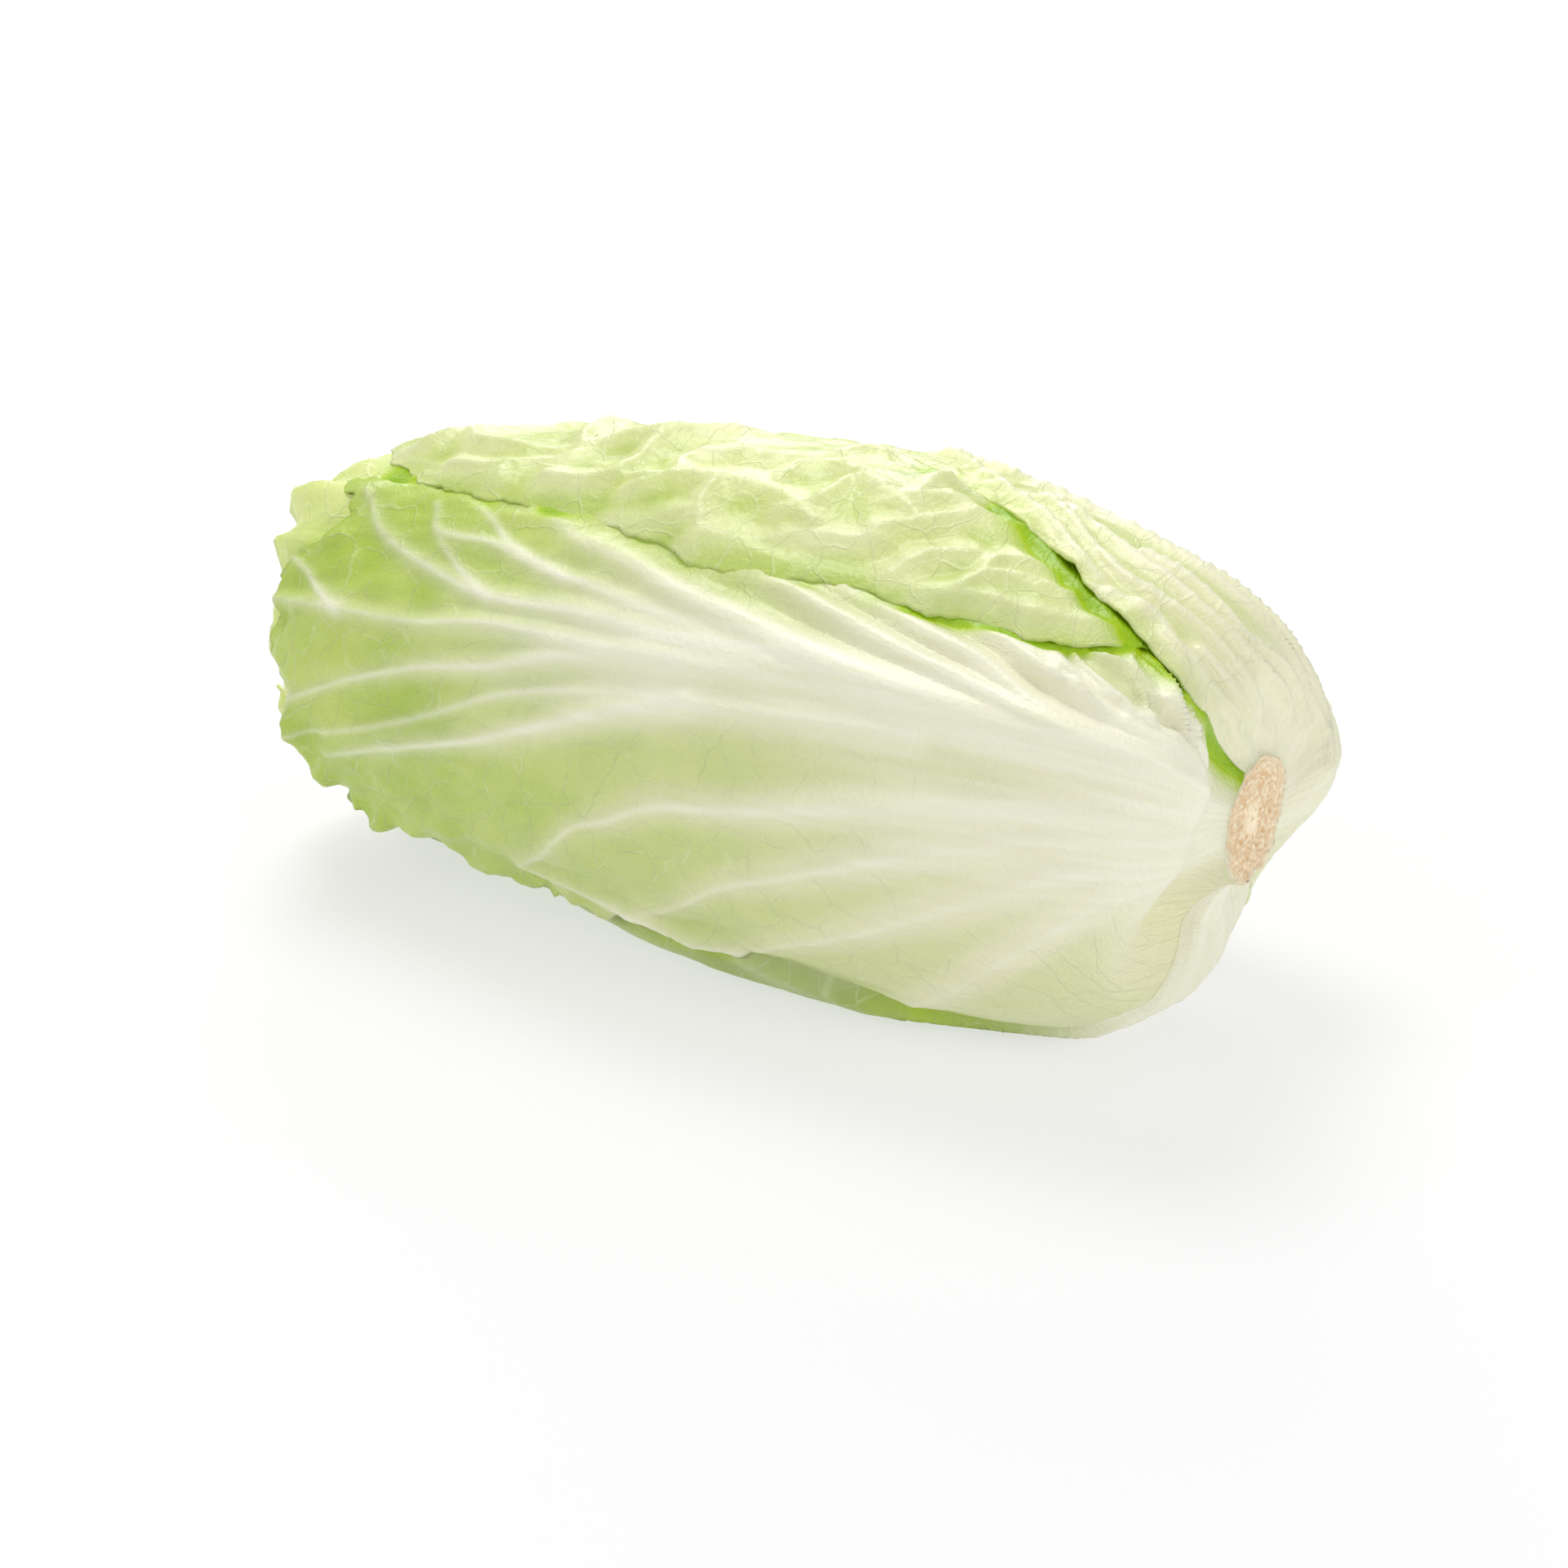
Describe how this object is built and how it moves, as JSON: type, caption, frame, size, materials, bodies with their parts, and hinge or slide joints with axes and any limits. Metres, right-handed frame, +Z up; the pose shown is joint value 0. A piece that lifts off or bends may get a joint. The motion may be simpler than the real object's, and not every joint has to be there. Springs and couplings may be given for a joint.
{
  "type": "napa cabbage head",
  "caption": "Long head of napa cabbage lying on its side: overlapping crinkled leaves with white ribs round a short cut stem.",
  "frame": {"origin": "on the ground, under the middle of the head's box", "axes": "+X along the head towards the cut stem, -X towards the leafy end, +Z up, -Y the front"},
  "size_m": [0.2986, 0.1468, 0.1376],
  "materials": {
    "outer_leaf": "soft waxy sheen, white ribs, fine raised veins",
    "inner_leaf": "soft waxy sheen, yellow-green frilled margins",
    "stem": "matt fibrous cut face, slightly pitted"
  },
  "bodies": {
    "root": {"back_leaf": "outer_leaf", "top_leaf": "outer_leaf", "front_leaf": "outer_leaf", "under_leaf": "outer_leaf", "inner_leaf_01": "inner_leaf", "inner_leaf_02": "inner_leaf", "inner_leaf_03": "inner_leaf", "inner_leaf_04": "inner_leaf", "inner_leaf_05": "inner_leaf", "inner_leaf_06": "inner_leaf", "inner_leaf_07": "inner_leaf", "inner_leaf_08": "inner_leaf", "inner_leaf_09": "inner_leaf", "inner_leaf_10": "inner_leaf", "inner_leaf_11": "inner_leaf", "inner_leaf_12": "inner_leaf", "inner_leaf_13": "inner_leaf", "inner_leaf_14": "inner_leaf", "heart_bud": "inner_leaf", "stem": "stem"}
  },
  "joints": []
}
